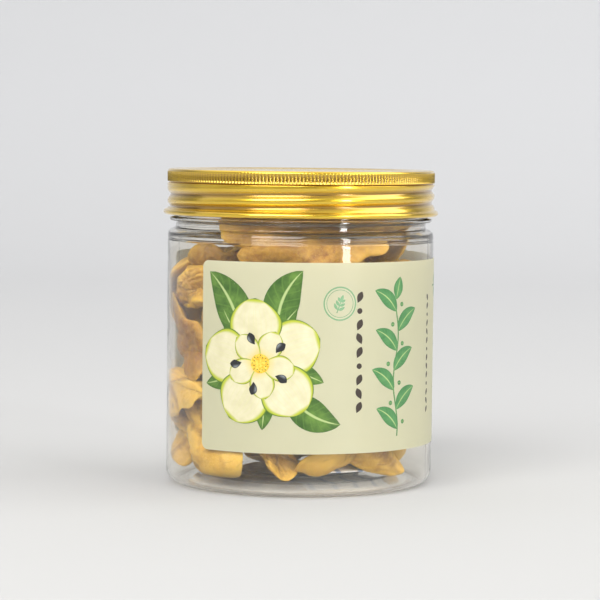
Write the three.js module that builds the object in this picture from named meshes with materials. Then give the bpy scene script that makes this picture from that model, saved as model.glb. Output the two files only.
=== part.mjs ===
// A clear screw-top jar filled with soft dried soursop, with a gold aluminium lid and a wrap label.
// Millimetres, +Z up. The origin is the centre of the ring that the jar stands on.
import * as THREE from 'three';

// Driving dimensions
const SIDES = 48;
const BODY_RADIUS = 42.5;
const BODY_WALL = 0.6;
const TOTAL_HEIGHT = 100;

// Base and heel of the jar
const HEEL_RADIUS = 4.5;
const FOOT_OUTER_RADIUS = BODY_RADIUS - HEEL_RADIUS;
const FOOT_INNER_RADIUS = FOOT_OUTER_RADIUS - 1.8;
const PUSH_UP_HEIGHT = 3.6;
const BASE_WALL = 0.9;
const INNER_STEP_RADIUS = 20;
const OUTER_STEP_RADIUS = 30;

// Shoulder and neck of the jar
const SHOULDER_START_Z = 77.4;
const NECK_RADIUS = 39.85;
const NECK_BORE_RADIUS = 38.7;
const NECK_LOW_Z = 81.6;
const NECK_RING_RADIUS = 41.8;
const NECK_RING_LOW_Z = 83.4;
const NECK_RING_TOP_Z = 84.9;
const FINISH_RADIUS = 40.4;
const MOUTH_Z = 97.9;

// Screw thread that the jar and the lid share
const THREAD_PITCH = 3.9;
const THREAD_ROWS = 10;
const JAR_RIDGE_HEIGHT = 1.2;
const LID_GROOVE_DEPTH = 0.95;
const THREAD_HALF_WIDTH = 1.0;
const THREAD_FADE = 0.35;
const LID_GROOVE_START_ANGLE = 2.9;
const LID_GROOVE_END_ANGLE = 12.9;
const LID_GROOVE_REFERENCE_Z = 87.9;
const JAR_RIDGE_START_ANGLE = 0.8;
const JAR_RIDGE_END_ANGLE = 9.3;

// Lid
const LID_WALL = 0.5;
const LID_LOW_Z = 85.5;
const LID_BEAD_RADIUS = 42.55;
const LID_WAIST_RADIUS = 41.8;
const LID_SHOULDER_CENTRE = 41.5;
const KNURL_RADIUS = 42.6;
const KNURL_TOP_Z = 98.9;
const KNURL_LOW_Z = 96;
const CURL_RADIUS = 0.85;
const CURL_CENTRE_RADIUS = 43;
const THREAD_ZONE_LOW_Z = 87.6;
const THREAD_ZONE_TOP_Z = 94.7;
const PANEL_RADIUS = 35.5;
const PANEL_STEP = 0.4;

// Liner disc in the lid
const LINER_RADIUS = 40.6;
const LINER_LOW_Z = 98.2;
const LINER_TOP_Z = 98.9;

// Wrap label
const LABEL_GAP = 0.1;
const LABEL_THICKNESS = 0.2;
const LABEL_LOW_Z = 13.9;
const LABEL_TOP_Z = 72.3;
const LABEL_START_DEGREES = -134.5;
const LABEL_SPAN_DEGREES = 299.5;
const LABEL_CORNER_RADIUS = 2.2;

// Sachet that lies on the base
const SACHET_LENGTH = 32;
const SACHET_WIDTH = 24;
const SACHET_THICKNESS = 2.4;
const SACHET_YAW = 0.45;
const SACHET_PLACE = { x: 13, y: -13, z: 6.4 };

// Dried fruit
const FLAP_COUNT = 24;
const FLAP_TRIES = 110;
const FLAP_RANGE = { length: [34, 48], width: [19, 27], thickness: [6.5, 10], curl: [0.7, 1.9] };
const NUGGET_COUNT = 16;
const NUGGET_RANGE = { length: [18, 27], width: [11, 16], thickness: [6, 9], curl: [0.3, 0.9] };
const NUGGET_TRIES = 1500;
const WALL_FAVOUR = 0.6;
const FRUIT_SEED = 20;
const LARGE_SECTIONS = 9;
const LARGE_SIDES = 8;
const SMALL_SECTIONS = 7;
const SMALL_SIDES = 6;
const FRUIT_SIDE_CLEARANCE = 0.45;
const PILE_TOP_Z = 94.5;
const LOW_SIDE_X = -5;
const LOW_SIDE_TOP_Z = 79;
const CELL = 0.8;

const WALL_TRY_DISTANCE = [26, 39];
const FREE_TRY_DISTANCE = 34;
const LOWEST_HOLLOW_Z = 8;
const NECK_EASE_BELOW = 1.5;
const NECK_EASE_RISE = 4.5;

// Flaps laid first, from the bottom up, where the clear strip beside the label and the gap under it show
// them. bearing is in degrees round the jar, with -90 at the front, and roll and lean are in radians.
const CHOSEN_FLAPS = [
  {
    bearing: -150, roll: 0.05, lean: -0.1,
    length: 42, width: 15, thickness: 8, curl: 1.2, bend: 1, twist: 0.2,
  },
  {
    bearing: -62, roll: 0.1, lean: -0.1,
    length: 33, width: 15, thickness: 7, curl: 0.9, bend: 0.8, twist: -0.3,
  },
  {
    bearing: -106, roll: 1.3, lean: -0.3,
    length: 18, width: 10, thickness: 6, curl: 0.8, bend: 0.4, twist: 0.3,
  },
  {
    bearing: -166, roll: -0.05, lean: -0.1,
    length: 34, width: 10, thickness: 7, curl: 0.8, bend: 0.9, twist: 0.1,
  },
  {
    bearing: -158, roll: 0.8, lean: -0.1,
    length: 26, width: 20, thickness: 4.5, curl: 2.2, bend: 0.4, twist: 0.2,
  },
  {
    bearing: -148, roll: 0.1, lean: -0.2,
    length: 19, width: 11, thickness: 8, curl: 1, bend: 0.3, twist: 0.3,
  },
  {
    bearing: -157, roll: 0.2, lean: -0.15,
    length: 29, width: 14, thickness: 7, curl: 0.9, bend: 0.7, twist: -0.4,
  },
  {
    bearing: -164, roll: -0.1, lean: -0.2,
    length: 36, width: 13, thickness: 8, curl: 1.4, bend: 0.8, twist: 0.4,
  },
  {
    bearing: -142, roll: 0.2, lean: -0.2,
    length: 36, width: 14, thickness: 7, curl: 1.2, bend: 0.8, twist: -0.3,
  },
];

function finish(name, color, roughness, metalness, more = {}) {
  return new THREE.MeshStandardMaterial({ name, color, roughness, metalness, ...more });
}

const clear = finish('clear_pet', 0xe9eef0, 0.05, 0, { transparent: true, opacity: 0.25 });
const gold = finish('gold_lid', 0xd0a43a, 0.3, 1);
const foam = finish('foam_liner', 0xf2f1ec, 0.9, 0);
const paper = finish('label', 0xe6e6c6, 0.6, 0);
const flesh = finish('dried_fruit', 0xd2a052, 0.5, 0);
const sachetFilm = finish('sachet', 0xf0f0ee, 0.6, 0);

// A closed profile of [radius, height] points, from the axis back to the axis, spun round Z
function turned(profile) {
  const points = profile.map(([radius, height]) => new THREE.Vector2(radius, height));
  const geometry = new THREE.LatheGeometry(points, SIDES);
  geometry.rotateX(Math.PI / 2);
  return geometry;
}

// Points of an arc in a profile, both ends included
function arc(centreRadius, centreHeight, radius, fromDegrees, toDegrees, steps) {
  const points = [];
  for (let i = 0; i <= steps; i += 1) {
    const angle = THREE.MathUtils.degToRad(fromDegrees + ((toDegrees - fromDegrees) * i) / steps);
    points.push([centreRadius + radius * Math.cos(angle), centreHeight + radius * Math.sin(angle)]);
  }
  return points;
}

// Evenly spaced rows of one radius, first and last included
function rows(radius, fromZ, toZ, count) {
  const points = [];
  for (let i = 0; i < count; i += 1) {
    points.push([radius, fromZ + ((toZ - fromZ) * i) / (count - 1)]);
  }
  return points;
}

// How far, from 0 to 1, a helical ridge stands at an angle and height: a rounded bump across the ridge that
// climbs one pitch a turn from its start angle to its end angle, and fades out at both ends
function helixBump(angle, height, referenceZ, startAngle, endAngle) {
  let tallest = 0;
  for (let turn = -1; turn <= 2; turn += 1) {
    const along = angle + turn * 2 * Math.PI;
    const centre = referenceZ + (THREAD_PITCH * (along - Math.PI)) / (2 * Math.PI);
    const offset = Math.abs(height - centre) / THREAD_HALF_WIDTH;
    if (offset < 1) {
      const across = Math.cos((offset * Math.PI) / 2) ** 1.2;
      const into = THREE.MathUtils.smoothstep(along, startAngle, startAngle + THREAD_FADE);
      const outOf = 1 - THREE.MathUtils.smoothstep(along, endAngle - THREAD_FADE, endAngle);
      tallest = Math.max(tallest, across * into * outOf);
    }
  }
  return tallest;
}

// Moves each point of a turned piece outwards by what offset(angle, radius, height) gives
function pushOut(geometry, offset) {
  const position = geometry.attributes.position;
  for (let i = 0; i < position.count; i += 1) {
    const x = position.getX(i);
    const y = position.getY(i);
    const z = position.getZ(i);
    const radius = Math.hypot(x, y);
    const angle = (Math.atan2(y, x) + 2 * Math.PI) % (2 * Math.PI);
    const push = offset(angle, radius, z);
    if (push !== 0) {
      position.setXY(i, x * (1 + push / radius), y * (1 + push / radius));
    }
  }
  geometry.computeVertexNormals();
  return geometry;
}

// The jar: stepped push-up base, standing ring, round heel, straight wall, shoulder, neck ring and thread
function jarGeometry() {
  const inner = BODY_RADIUS - BODY_WALL;
  const profile = [
    [0, PUSH_UP_HEIGHT],
    [INNER_STEP_RADIUS, PUSH_UP_HEIGHT - 0.3],
    [INNER_STEP_RADIUS + 1, PUSH_UP_HEIGHT - 1],
    [OUTER_STEP_RADIUS, PUSH_UP_HEIGHT - 1.3],
    [OUTER_STEP_RADIUS + 1, PUSH_UP_HEIGHT - 2],
    [FOOT_INNER_RADIUS - 0.8, 1],
    [FOOT_INNER_RADIUS, 0],
    ...arc(FOOT_OUTER_RADIUS, HEEL_RADIUS, HEEL_RADIUS, -90, 0, 4),
    [BODY_RADIUS, SHOULDER_START_Z],
    [BODY_RADIUS - 0.5, SHOULDER_START_Z + 2],
    [BODY_RADIUS - 1.6, SHOULDER_START_Z + 3.4],
    [NECK_RADIUS, NECK_LOW_Z],
    [NECK_RADIUS, NECK_RING_LOW_Z],
    [NECK_RING_RADIUS, NECK_RING_LOW_Z + 0.3],
    [NECK_RING_RADIUS, NECK_RING_TOP_Z - 0.3],
    [FINISH_RADIUS, NECK_RING_TOP_Z],
    ...rows(FINISH_RADIUS, THREAD_ZONE_LOW_Z - 0.5, THREAD_ZONE_TOP_Z, THREAD_ROWS),
    [FINISH_RADIUS, MOUTH_Z - 0.4],
    [FINISH_RADIUS - 0.4, MOUTH_Z],
    [NECK_BORE_RADIUS, MOUTH_Z],
    [NECK_BORE_RADIUS, NECK_LOW_Z - 0.4],
    [inner - 1.6, SHOULDER_START_Z + 2.6],
    [inner - 0.3, SHOULDER_START_Z + 0.6],
    [inner, SHOULDER_START_Z - 1.4],
    ...arc(FOOT_OUTER_RADIUS, HEEL_RADIUS, HEEL_RADIUS - BODY_WALL, 0, -90, 3),
    [FOOT_INNER_RADIUS, 1 + BASE_WALL],
    [OUTER_STEP_RADIUS + 0.4, PUSH_UP_HEIGHT - 1.6 + BASE_WALL],
    [INNER_STEP_RADIUS + 0.4, PUSH_UP_HEIGHT - 0.7 + BASE_WALL],
    [0, PUSH_UP_HEIGHT + BASE_WALL],
  ];
  const ridgeZ = LID_GROOVE_REFERENCE_Z + THREAD_PITCH / 2;
  return pushOut(turned(profile), (angle, radius, height) => {
    const inZone = height >= THREAD_ZONE_LOW_Z - 1 && height <= THREAD_ZONE_TOP_Z + 0.5;
    if (radius < FINISH_RADIUS - 0.2 || !inZone) {
      return 0;
    }
    return JAR_RIDGE_HEIGHT * helixBump(angle, height, ridgeZ, JAR_RIDGE_START_ANGLE, JAR_RIDGE_END_ANGLE);
  });
}

// The lid: thin sheet with a sunk top panel, a round shoulder, a band, a rolled thread and a curled rim
function lidGeometry() {
  const innerBead = LID_BEAD_RADIUS - LID_WALL;
  const curlZ = LID_LOW_Z + CURL_RADIUS;
  const profile = [
    [0, TOTAL_HEIGHT - PANEL_STEP - LID_WALL],
    [PANEL_RADIUS, TOTAL_HEIGHT - PANEL_STEP - LID_WALL],
    [PANEL_RADIUS + 1, TOTAL_HEIGHT - LID_WALL],
    [LID_SHOULDER_CENTRE - 1.3, TOTAL_HEIGHT - LID_WALL],
    [LID_SHOULDER_CENTRE, TOTAL_HEIGHT - LID_WALL - 0.5],
    [KNURL_RADIUS - LID_WALL, KNURL_TOP_Z - 0.4],
    [KNURL_RADIUS - LID_WALL, KNURL_LOW_Z + 0.4],
    [LID_WAIST_RADIUS - LID_WALL, KNURL_LOW_Z - 0.3],
    [LID_WAIST_RADIUS - LID_WALL, THREAD_ZONE_TOP_Z + 0.4],
    ...rows(innerBead, THREAD_ZONE_TOP_Z - 0.1, THREAD_ZONE_LOW_Z, THREAD_ROWS),
    ...arc(CURL_CENTRE_RADIUS, curlZ, CURL_RADIUS, 180, 460, 7),
    ...rows(LID_BEAD_RADIUS, THREAD_ZONE_LOW_Z, THREAD_ZONE_TOP_Z - 0.1, THREAD_ROWS),
    [LID_WAIST_RADIUS, THREAD_ZONE_TOP_Z + 0.4],
    [LID_WAIST_RADIUS, KNURL_LOW_Z - 0.4],
    [KNURL_RADIUS, KNURL_LOW_Z],
    [KNURL_RADIUS, KNURL_TOP_Z],
    ...arc(LID_SHOULDER_CENTRE, KNURL_TOP_Z, TOTAL_HEIGHT - KNURL_TOP_Z, 40, 90, 2),
    [PANEL_RADIUS + 1, TOTAL_HEIGHT],
    [PANEL_RADIUS, TOTAL_HEIGHT - PANEL_STEP],
    [0, TOTAL_HEIGHT - PANEL_STEP],
  ];
  return pushOut(turned(profile), (angle, radius, height) => {
    if (height < THREAD_ZONE_LOW_Z - 0.01 || height > THREAD_ZONE_TOP_Z) {
      return 0;
    }
    const turns = [LID_GROOVE_START_ANGLE, LID_GROOVE_END_ANGLE];
    return -LID_GROOVE_DEPTH * helixBump(angle, height, LID_GROOVE_REFERENCE_Z, ...turns);
  });
}

// The liner: a plain disc that seals on the jar's mouth
function linerGeometry() {
  return turned([
    [0, LINER_LOW_Z],
    [LINER_RADIUS, LINER_LOW_Z],
    [LINER_RADIUS, LINER_TOP_Z],
    [0, LINER_TOP_Z],
  ]);
}

function ringCentre(ring) {
  return ring.reduce((sum, point) => sum.add(point), new THREE.Vector3()).divideScalar(ring.length);
}

// A closed skin over rings of points, all of one count, with a point at each end
function skinned(rings, firstPole, lastPole) {
  const count = rings[0].length;
  const vertices = [firstPole, ...rings.flat(), lastPole];
  const last = vertices.length - 1;
  const faces = [];
  for (let i = 0; i < count; i += 1) {
    const next = (i + 1) % count;
    faces.push(0, 1 + next, 1 + i);
    const base = 1 + (rings.length - 1) * count;
    faces.push(last, base + i, base + next);
    for (let ring = 0; ring < rings.length - 1; ring += 1) {
      const low = 1 + ring * count;
      const high = low + count;
      faces.push(low + i, low + next, high + i);
      faces.push(low + next, high + next, high + i);
    }
  }
  const geometry = new THREE.BufferGeometry();
  const coordinates = vertices.flatMap((vertex) => [vertex.x, vertex.y, vertex.z]);
  geometry.setAttribute('position', new THREE.Float32BufferAttribute(coordinates, 3));
  geometry.setIndex(faces);
  geometry.computeVertexNormals();
  return geometry;
}

// The distance from the axis to the jar's flat facets at an angle, for a radius measured at their corners
function facetRadius(radius, angle) {
  const step = (2 * Math.PI) / SIDES;
  const offset = ((angle % step) + step) % step;
  return (radius * Math.cos(step / 2)) / Math.cos(offset - step / 2);
}

// The label: a thin sheet with round corners, wrapped close round the jar's wall, with its ends apart
function labelGeometry() {
  const innerRadius = BODY_RADIUS + LABEL_GAP;
  const start = THREE.MathUtils.degToRad(LABEL_START_DEGREES);
  const end = start + THREE.MathUtils.degToRad(LABEL_SPAN_DEGREES);
  const step = (2 * Math.PI) / SIDES;
  const corner = LABEL_CORNER_RADIUS / innerRadius;
  const angles = [0, 0.12, 0.4, 1].flatMap((part) => [start + part * corner, end - part * corner]);
  for (let angle = Math.ceil(start / step) * step; angle < end; angle += step) {
    if (angle > start + 1.05 * corner && angle < end - 1.05 * corner) {
      angles.push(angle);
    }
  }
  angles.sort((a, b) => a - b);
  const ringAt = (angle) => {
    const fromEnd = Math.min(angle - start, end - angle) * innerRadius;
    const short = Math.max(0, LABEL_CORNER_RADIUS - fromEnd);
    const cut = LABEL_CORNER_RADIUS - Math.sqrt(LABEL_CORNER_RADIUS ** 2 - short ** 2);
    const low = facetRadius(innerRadius, angle);
    const high = facetRadius(innerRadius + LABEL_THICKNESS, angle);
    const bottom = LABEL_LOW_Z + cut;
    const top = LABEL_TOP_Z - cut;
    const corners = [[low, bottom], [low, top], [high, top], [high, bottom]];
    return corners.map(([r, z]) => new THREE.Vector3(r * Math.cos(angle), r * Math.sin(angle), z));
  };
  const rings = angles.map(ringAt);
  return skinned(rings, ringCentre(rings[0]), ringCentre(rings[rings.length - 1]));
}

// Seeded random numbers from 0 to 1
function randomFrom(seed) {
  let state = seed;
  return () => {
    state = (state + 0x6d2b79f5) | 0;
    let mixed = Math.imul(state ^ (state >>> 15), 1 | state);
    mixed = (mixed + Math.imul(mixed ^ (mixed >>> 7), 61 | mixed)) ^ mixed;
    return ((mixed ^ (mixed >>> 14)) >>> 0) / 4294967296;
  };
}

// A torn flap of dried flesh: a lens-shaped section with a lobed width, curled across, carried along a bent
// and twisted spine. along runs from 0 to 1 down the flap and around is the angle round its section.
function flapPoint(flap, along, around) {
  const taper = Math.sin(Math.PI * (0.07 + 0.86 * along)) ** 0.5;
  const lobes = 1 + 0.16 * Math.sin(2 * Math.PI * flap.lobes * along + flap.phase);
  const halfWidth = (flap.width / 2) * taper * lobes;
  const swell = 1 + 0.2 * Math.sin(7 * along + 2 * flap.phase);
  const halfThickness = (flap.thickness / 2) * taper ** 0.6 * swell;
  const across = halfWidth * Math.cos(around) + 0.12 * flap.width * Math.sin(5 * along + flap.phase);
  const above = halfThickness * Math.sign(Math.sin(around)) * Math.abs(Math.sin(around)) ** 0.7;
  const curl = flap.curl / flap.width;
  const curled = across * curl;
  const y = Math.sin(curled) / curl - above * Math.sin(curled);
  const z = (1 - Math.cos(curled)) / curl + above * Math.cos(curled);
  const twist = flap.twist * (along - 0.5);
  const side = y * Math.cos(twist) - z * Math.sin(twist);
  const lift = y * Math.sin(twist) + z * Math.cos(twist);
  const bend = flap.bend / flap.length;
  const turn = flap.bend * (along - 0.5);
  return new THREE.Vector3(
    Math.sin(turn) / bend - lift * Math.sin(turn),
    side,
    (1 - Math.cos(turn)) / bend + lift * Math.cos(turn),
  );
}

// The sachet that keeps the fruit dry: a flat pillow that thins towards its two sealed ends
function sachetPoint(along, around) {
  const halfThickness = (SACHET_THICKNESS / 2) * (0.15 + 0.85 * Math.sin(Math.PI * along) ** 0.6);
  return new THREE.Vector3(
    SACHET_LENGTH * (along - 0.5),
    (SACHET_WIDTH / 2) * Math.cos(around),
    halfThickness * Math.sin(around),
  );
}

// A closed skin over a shape given as pointAt(along, around), with its middle at the origin
function shapeGeometry(pointAt, sections, sides) {
  const rings = [];
  for (let section = 0; section < sections; section += 1) {
    const ring = [];
    for (let side = 0; side < sides; side += 1) {
      ring.push(pointAt(section / (sections - 1), (2 * Math.PI * side) / sides));
    }
    rings.push(ring);
  }
  const middle = ringCentre(rings[(sections - 1) / 2]);
  const geometry = skinned(rings, ringCentre(rings[0]), ringCentre(rings[sections - 1]));
  return geometry.translate(-middle.x, -middle.y, -middle.z);
}

// Points about a cell apart all over the same skin
function shapeSamples(pointAt, sections, sides, length, width) {
  const middleRing = [];
  for (let side = 0; side < sides; side += 1) {
    middleRing.push(pointAt(0.5, (2 * Math.PI * side) / sides));
  }
  const middle = ringCentre(middleRing);
  const lengthSteps = Math.ceil(length / CELL);
  const roundSteps = Math.ceil((2 * width) / CELL);
  const points = [];
  for (let i = 0; i <= lengthSteps; i += 1) {
    for (let j = 0; j < roundSteps; j += 1) {
      points.push(pointAt(i / lengthSteps, (2 * Math.PI * j) / roundSteps).sub(middle));
    }
  }
  return points;
}

// The room inside the jar: the free radius at a height, and the floor's height at a radius
function freeRadius(z) {
  if (z > SHOULDER_START_Z - NECK_EASE_BELOW) {
    const risen = z - SHOULDER_START_Z + NECK_EASE_BELOW;
    const toNeck = THREE.MathUtils.clamp(risen / NECK_EASE_RISE, 0, 1);
    return THREE.MathUtils.lerp(BODY_RADIUS - BODY_WALL, NECK_BORE_RADIUS, toNeck) - FRUIT_SIDE_CLEARANCE;
  }
  const below = THREE.MathUtils.clamp(HEEL_RADIUS - z, 0, HEEL_RADIUS - BODY_WALL);
  const arcReach = Math.sqrt((HEEL_RADIUS - BODY_WALL) ** 2 - below ** 2);
  return FOOT_OUTER_RADIUS + arcReach - FRUIT_SIDE_CLEARANCE - 0.2;
}

function floorHeight(radius) {
  return radius > FOOT_INNER_RADIUS - 6 ? 3.4 : PUSH_UP_HEIGHT + BASE_WALL + 0.4;
}

// A grid of cells that fills up as things are laid in the jar
class Pile {
  constructor() {
    this.width = Math.ceil((2 * BODY_RADIUS) / CELL) + 4;
    this.height = Math.ceil(TOTAL_HEIGHT / CELL) + 4;
    this.cells = new Uint8Array(this.width * this.width * this.height);
  }

  index(x, y, z) {
    const column = Math.floor(x / CELL + this.width / 2);
    const row = Math.floor(y / CELL + this.width / 2);
    return (Math.floor(z / CELL) * this.width + row) * this.width + column;
  }

  isFree(points, dx, dy, dz) {
    for (const point of points) {
      const x = point.x + dx;
      const y = point.y + dy;
      const z = point.z + dz;
      const radius = Math.hypot(x, y);
      if (radius > freeRadius(z) || z < floorHeight(radius) || this.cells[this.index(x, y, z)]) {
        return false;
      }
    }
    return true;
  }

  fill(points, dx, dy, dz) {
    for (const point of points) {
      for (let k = -1; k <= 1; k += 1) {
        for (let j = -1; j <= 1; j += 1) {
          for (let i = -1; i <= 1; i += 1) {
            const x = point.x + dx + i * CELL;
            const y = point.y + dy + j * CELL;
            const z = Math.max(0, point.z + dz + k * CELL);
            this.cells[this.index(x, y, z)] = 1;
          }
        }
      }
    }
  }

  // The height that a thing reaches when it is let down at x, y, or null where it doesn't fit to begin with
  letDown(points, x, y, fromZ) {
    if (!this.isFree(points, x, y, fromZ)) {
      return null;
    }
    let z = fromZ;
    while (this.isFree(points, x, y, z - CELL / 2)) {
      z -= CELL / 2;
    }
    return z;
  }
}

// The turn of a flap whose outer face lies along the wall at a bearing: roll turns its length in that face
// from level, and lean tips its top towards the axis
function againstWall(bearing, roll, lean) {
  const inward = new THREE.Vector3(-Math.cos(bearing), -Math.sin(bearing), 0);
  const tangent = new THREE.Vector3(-Math.sin(bearing), Math.cos(bearing), 0);
  const down = new THREE.Vector3(0, 0, -1);
  const basis = new THREE.Matrix4().makeBasis(tangent, down, inward);
  const turn = new THREE.Quaternion().setFromRotationMatrix(basis);
  turn.premultiply(new THREE.Quaternion().setFromAxisAngle(inward, roll));
  return turn.premultiply(new THREE.Quaternion().setFromAxisAngle(tangent, lean));
}

// Lays one flap after another in the jar. A chosen flap is let down where it is said to be. Every other one
// takes the lowest of many turned and tilted tries, and is then nudged wherever that lets it settle lower.
// Nuggets also try the hollows between the flaps.
class Filling {
  constructor() {
    this.random = randomFrom(FRUIT_SEED);
    this.pile = new Pile();
    this.meshes = [];
  }

  between(low, high) {
    return low + (high - low) * this.random();
  }

  lay(name, shape, place) {
    this.pile.fill(turnedPoints(shape.samples, place.turn), place.x, place.y, place.z);
    const mesh = named(name, shapeGeometry(shape.pointAt, shape.sections, shape.sides), shape.material);
    mesh.position.set(place.x, place.y, place.z);
    mesh.quaternion.copy(place.turn);
    this.meshes.push(mesh);
  }

  layFlap(shape, place) {
    const number = this.meshes.filter((mesh) => mesh.name.startsWith('fruit')).length + 1;
    this.lay(`fruit_${String(number).padStart(2, '0')}`, shape, place);
  }

  layChosen(chosen) {
    const bearing = THREE.MathUtils.degToRad(chosen.bearing);
    const turn = againstWall(bearing, chosen.roll, chosen.lean);
    const flap = { ...chosen, lobes: this.between(1.2, 2.4), phase: this.between(0, 6.28) };
    const shape = flapShape(flap, LARGE_SECTIONS, LARGE_SIDES);
    const points = turnedPoints(shape.samples, turn);
    const reach = Math.max(...points.map((point) => point.z));
    for (let distance = BODY_RADIUS; distance > 0; distance -= CELL) {
      const x = distance * Math.cos(bearing);
      const y = distance * Math.sin(bearing);
      const z = this.pile.letDown(points, x, y, SHOULDER_START_Z - 2 - reach);
      if (z !== null) {
        this.layFlap(shape, { x, y, z, turn });
        return;
      }
    }
  }

  // A turn that either leans a flap on the wall or tips it freely
  someTurn(bearing, leansOnWall) {
    if (leansOnWall) {
      return againstWall(bearing, this.between(0, Math.PI), this.between(-0.5, 0.2));
    }
    const tip = [this.between(-1.3, 1.3), this.between(-1.1, 1.1), this.between(0, 6.28)];
    return new THREE.Quaternion().setFromEuler(new THREE.Euler(...tip));
  }

  layBest(shape, tries, leansOnWall, searchesHollows) {
    const coarse = shape.samples.filter((point, i) => i % 7 === 0);
    const worth = (x, y, z) => WALL_FAVOUR * Math.hypot(x, y) - (searchesHollows ? 0.1 : 1) * z;
    let best = null;
    const attempt = (x, y, turn) => {
      const rough = turnedPoints(coarse, turn);
      const reach = Math.max(...rough.map((point) => point.z));
      const highest = (x < LOW_SIDE_X ? LOW_SIDE_TOP_Z : PILE_TOP_Z) - reach;
      const fromZ = searchesHollows ? this.between(LOWEST_HOLLOW_Z, highest) : highest;
      const roughZ = this.pile.letDown(rough, x, y, fromZ);
      if (roughZ === null || (best !== null && worth(x, y, roughZ) <= best.worth)) {
        return;
      }
      const z = this.pile.letDown(turnedPoints(shape.samples, turn), x, y, fromZ);
      if (z !== null && (best === null || worth(x, y, z) > best.worth)) {
        best = { x, y, z, turn, worth: worth(x, y, z) };
      }
    };
    for (let i = 0; i < tries; i += 1) {
      const free = () => Math.sqrt(this.random()) * FREE_TRY_DISTANCE;
      const distance = leansOnWall ? this.between(...WALL_TRY_DISTANCE) : free();
      const bearing = this.between(0, 2 * Math.PI);
      const turn = this.someTurn(bearing, leansOnWall);
      attempt(distance * Math.cos(bearing), distance * Math.sin(bearing), turn);
    }
    for (let i = 0; i < tries / 2 && best !== null; i += 1) {
      const tip = [this.between(-0.2, 0.2), this.between(-0.2, 0.2), this.between(-0.3, 0.3)];
      const turn = new THREE.Quaternion().setFromEuler(new THREE.Euler(...tip)).multiply(best.turn);
      attempt(best.x + this.between(-2.5, 2.5), best.y + this.between(-2.5, 2.5), turn);
    }
    if (best !== null) {
      this.layFlap(shape, best);
    }
  }
}

function turnedPoints(points, turn) {
  return points.map((point) => point.clone().applyQuaternion(turn));
}

function flapShape(flap, sections, sides) {
  const pointAt = (along, around) => flapPoint(flap, along, around);
  const samples = shapeSamples(pointAt, sections, sides, flap.length, flap.width);
  return { pointAt, sections, sides, samples, material: flesh };
}

function sachetShape() {
  const samples = shapeSamples(sachetPoint, SMALL_SECTIONS, SMALL_SIDES, SACHET_LENGTH, SACHET_WIDTH);
  return {
    pointAt: sachetPoint, sections: SMALL_SECTIONS, sides: SMALL_SIDES, samples, material: sachetFilm,
  };
}

function fillingMeshes() {
  const filling = new Filling();
  const someFlap = (range) => ({
    length: filling.between(...range.length),
    width: filling.between(...range.width),
    thickness: filling.between(...range.thickness),
    curl: filling.between(...range.curl),
    bend: filling.between(0.4, 1.5),
    twist: filling.between(-0.9, 0.9),
    lobes: filling.between(1.2, 2.6),
    phase: filling.between(0, 6.28),
  });
  const sachetTurn = new THREE.Quaternion().setFromEuler(new THREE.Euler(0, 0, SACHET_YAW));
  filling.lay('sachet', sachetShape(), { ...SACHET_PLACE, turn: sachetTurn });
  for (const chosen of CHOSEN_FLAPS) {
    filling.layChosen(chosen);
  }
  for (let i = 0; i < FLAP_COUNT; i += 1) {
    const shape = flapShape(someFlap(FLAP_RANGE), LARGE_SECTIONS, LARGE_SIDES);
    filling.layBest(shape, FLAP_TRIES, i % 3 !== 2, false);
  }
  for (let i = 0; i < NUGGET_COUNT; i += 1) {
    const shape = flapShape(someFlap(NUGGET_RANGE), SMALL_SECTIONS, SMALL_SIDES);
    filling.layBest(shape, NUGGET_TRIES, i % 2 === 0, true);
  }
  return filling.meshes;
}

function named(name, geometry, material) {
  const mesh = new THREE.Mesh(geometry, material);
  mesh.name = name;
  return mesh;
}

const jarOfSoursop = new THREE.Group();
jarOfSoursop.add(named('jar', jarGeometry(), clear));
jarOfSoursop.add(named('lid', lidGeometry(), gold));
jarOfSoursop.add(named('lid_liner', linerGeometry(), foam));
jarOfSoursop.add(named('label', labelGeometry(), paper));
jarOfSoursop.add(...fillingMeshes());

export default jarOfSoursop;
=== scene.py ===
import math

import bmesh
import bpy
import numpy as np
from mathutils import Matrix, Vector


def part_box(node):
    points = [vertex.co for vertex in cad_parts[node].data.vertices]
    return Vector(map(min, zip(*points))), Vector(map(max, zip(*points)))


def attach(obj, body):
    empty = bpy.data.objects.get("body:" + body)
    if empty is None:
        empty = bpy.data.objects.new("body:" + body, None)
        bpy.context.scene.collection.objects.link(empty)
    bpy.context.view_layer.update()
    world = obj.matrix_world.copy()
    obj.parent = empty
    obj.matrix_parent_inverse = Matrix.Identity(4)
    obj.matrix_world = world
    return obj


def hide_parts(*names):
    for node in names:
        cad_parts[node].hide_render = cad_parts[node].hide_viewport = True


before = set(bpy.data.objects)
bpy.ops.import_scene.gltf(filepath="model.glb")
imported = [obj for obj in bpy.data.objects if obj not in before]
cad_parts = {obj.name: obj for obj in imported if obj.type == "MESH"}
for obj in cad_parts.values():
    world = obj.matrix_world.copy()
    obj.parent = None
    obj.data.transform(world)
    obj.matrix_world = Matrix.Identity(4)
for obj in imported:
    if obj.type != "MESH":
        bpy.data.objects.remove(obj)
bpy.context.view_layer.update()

MM = 0.001
FULL_TURN = 2 * math.pi

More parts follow.
